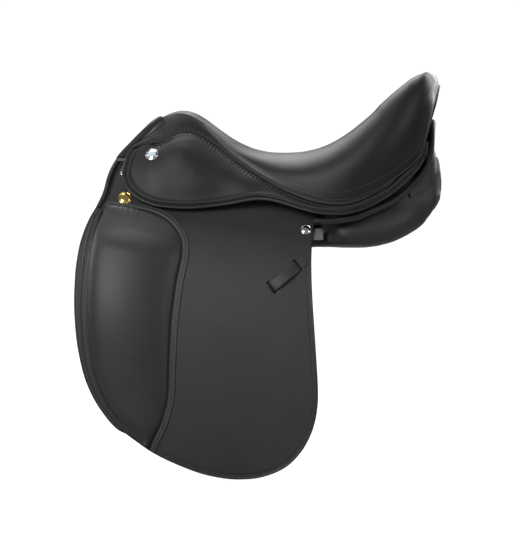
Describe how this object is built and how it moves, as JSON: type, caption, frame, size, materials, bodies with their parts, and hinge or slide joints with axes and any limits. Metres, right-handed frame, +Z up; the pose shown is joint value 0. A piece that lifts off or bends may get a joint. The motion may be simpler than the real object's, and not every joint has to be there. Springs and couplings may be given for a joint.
{
  "type": "english dressage saddle",
  "caption": "English dressage saddle with deep padded seat, long straight flaps that lift, external knee blocks, panels, sprung tree, stirrup bars and punched girth straps.",
  "frame": {"origin": "on the saddle's middle plane, at the height of the lowest edge of the flaps, midway along its length", "axes": "+Z up as it sits on the horse, +X towards the cantle (rear), +Y towards the off (right) side"},
  "size_m": [0.5638, 0.363, 0.6154],
  "materials": {
    "leather": "black bridle leather, semi-matt",
    "seat_leather": "black grained calf, soft sheen",
    "block_leather": "black soft grained calf",
    "panel_leather": "black soft calf",
    "laminate": "laminated beech, varnished",
    "black_laminate": "laminated beech, black lacquer",
    "steel": "satin",
    "foam": "dense open-cell foam",
    "webbing": "woven nylon",
    "pale_webbing": "woven nylon",
    "brass_nails": "polished",
    "nickel_nails": "polished nickel plate"
  },
  "bodies": {
    "saddle": {"bar_rivets": "steel", "cantle_back": "leather", "catch_pins": "steel", "channel_lining": "leather", "flap_top_left": "leather", "flap_top_right": "leather", "front_nails": "brass_nails", "front_strap_web_left": "webbing", "front_strap_web_right": "webbing", "front_web_loop_left": "pale_webbing", "front_web_loop_right": "pale_webbing", "gullet_plate": "steel", "head_arch": "black_laminate", "head_rivets": "steel", "panel_left": "panel_leather", "panel_right": "panel_leather", "pommel_roll": "leather", "pommel_strips": "leather", "rear_nails": "nickel_nails", "rear_strap_web_left": "webbing", "rear_strap_web_right": "webbing", "rear_strip": "leather", "rear_web_loop_left": "pale_webbing", "rear_web_loop_right": "pale_webbing", "seat_band_left": "leather", "seat_band_right": "leather", "seat_cover": "seat_leather", "seat_foam": "foam", "seat_webbing": "webbing", "skirt_nails": "nickel_nails", "skirt_root_left": "leather", "skirt_root_right": "leather", "spring_steels": "steel", "stirrup_bar_left": "steel", "stirrup_bar_right": "steel", "stirrup_plate_left": "steel", "stirrup_plate_right": "steel", "tree": "laminate", "under_flap_left": "leather", "under_flap_right": "leather", "upper_nails": "nickel_nails"},
    "flap_left": {"flap_left": "leather", "knee_block_left": "block_leather", "leather_keeper_left": "leather"},
    "skirt_left": {"skirt_left": "leather"},
    "front_strap_left": {"front_girth_strap_left": "leather"},
    "rear_strap_left": {"rear_girth_strap_left": "leather"},
    "catch_left": {"stirrup_catch_left": "steel"},
    "flap_right": {"flap_right": "leather", "knee_block_right": "block_leather", "leather_keeper_right": "leather"},
    "skirt_right": {"skirt_right": "leather"},
    "front_strap_right": {"front_girth_strap_right": "leather"},
    "rear_strap_right": {"rear_girth_strap_right": "leather"},
    "catch_right": {"stirrup_catch_right": "steel"}
  },
  "joints": [
    {"name": "flap_lift_left", "type": "hinge", "parent": "saddle", "child": "flap_left", "pos_m": [-0.07576, -0.108, 0.38228], "axis": [-0.9853, 0.0947, 0.142], "range_deg": [0, 70]},
    {"name": "flap_lift_right", "type": "hinge", "parent": "saddle", "child": "flap_right", "pos_m": [-0.07576, 0.108, 0.38228], "axis": [0.9853, 0.0947, -0.142], "range_deg": [0, 70]},
    {"name": "skirt_lift_left", "type": "hinge", "parent": "saddle", "child": "skirt_left", "pos_m": [-0.10401, -0.09907, 0.45328], "axis": [-0.9206, 0.2249, 0.3191], "range_deg": [0, 85]},
    {"name": "skirt_lift_right", "type": "hinge", "parent": "saddle", "child": "skirt_right", "pos_m": [-0.10401, 0.09907, 0.45328], "axis": [0.9206, 0.2249, -0.3191], "range_deg": [0, 85]},
    {"name": "front_strap_swing_left", "type": "hinge", "parent": "saddle", "child": "front_strap_left", "pos_m": [-0.07827, -0.11059, 0.35928], "axis": [0.0947, 0.9955, 0], "range_deg": [-1.5, 7]},
    {"name": "front_strap_swing_right", "type": "hinge", "parent": "saddle", "child": "front_strap_right", "pos_m": [-0.07827, 0.11059, 0.35928], "axis": [-0.0947, 0.9955, 0], "range_deg": [-1.5, 7]},
    {"name": "rear_strap_swing_left", "type": "hinge", "parent": "saddle", "child": "rear_strap_left", "pos_m": [-0.00426, -0.11737, 0.34928], "axis": [0.0941, 0.9956, 0], "range_deg": [-7, 7]},
    {"name": "rear_strap_swing_right", "type": "hinge", "parent": "saddle", "child": "rear_strap_right", "pos_m": [-0.00426, 0.11737, 0.34928], "axis": [-0.0941, 0.9956, 0], "range_deg": [-7, 7]},
    {"name": "catch_turn_left", "type": "hinge", "parent": "saddle", "child": "catch_left", "pos_m": [-0.10087, -0.07207, 0.47464], "axis": [-0.0404, -0.9379, 0.3447], "range_deg": [0, 75]},
    {"name": "catch_turn_right", "type": "hinge", "parent": "saddle", "child": "catch_right", "pos_m": [-0.10087, 0.07207, 0.47464], "axis": [0.0404, -0.9379, -0.3447], "range_deg": [0, 75]}
  ]
}
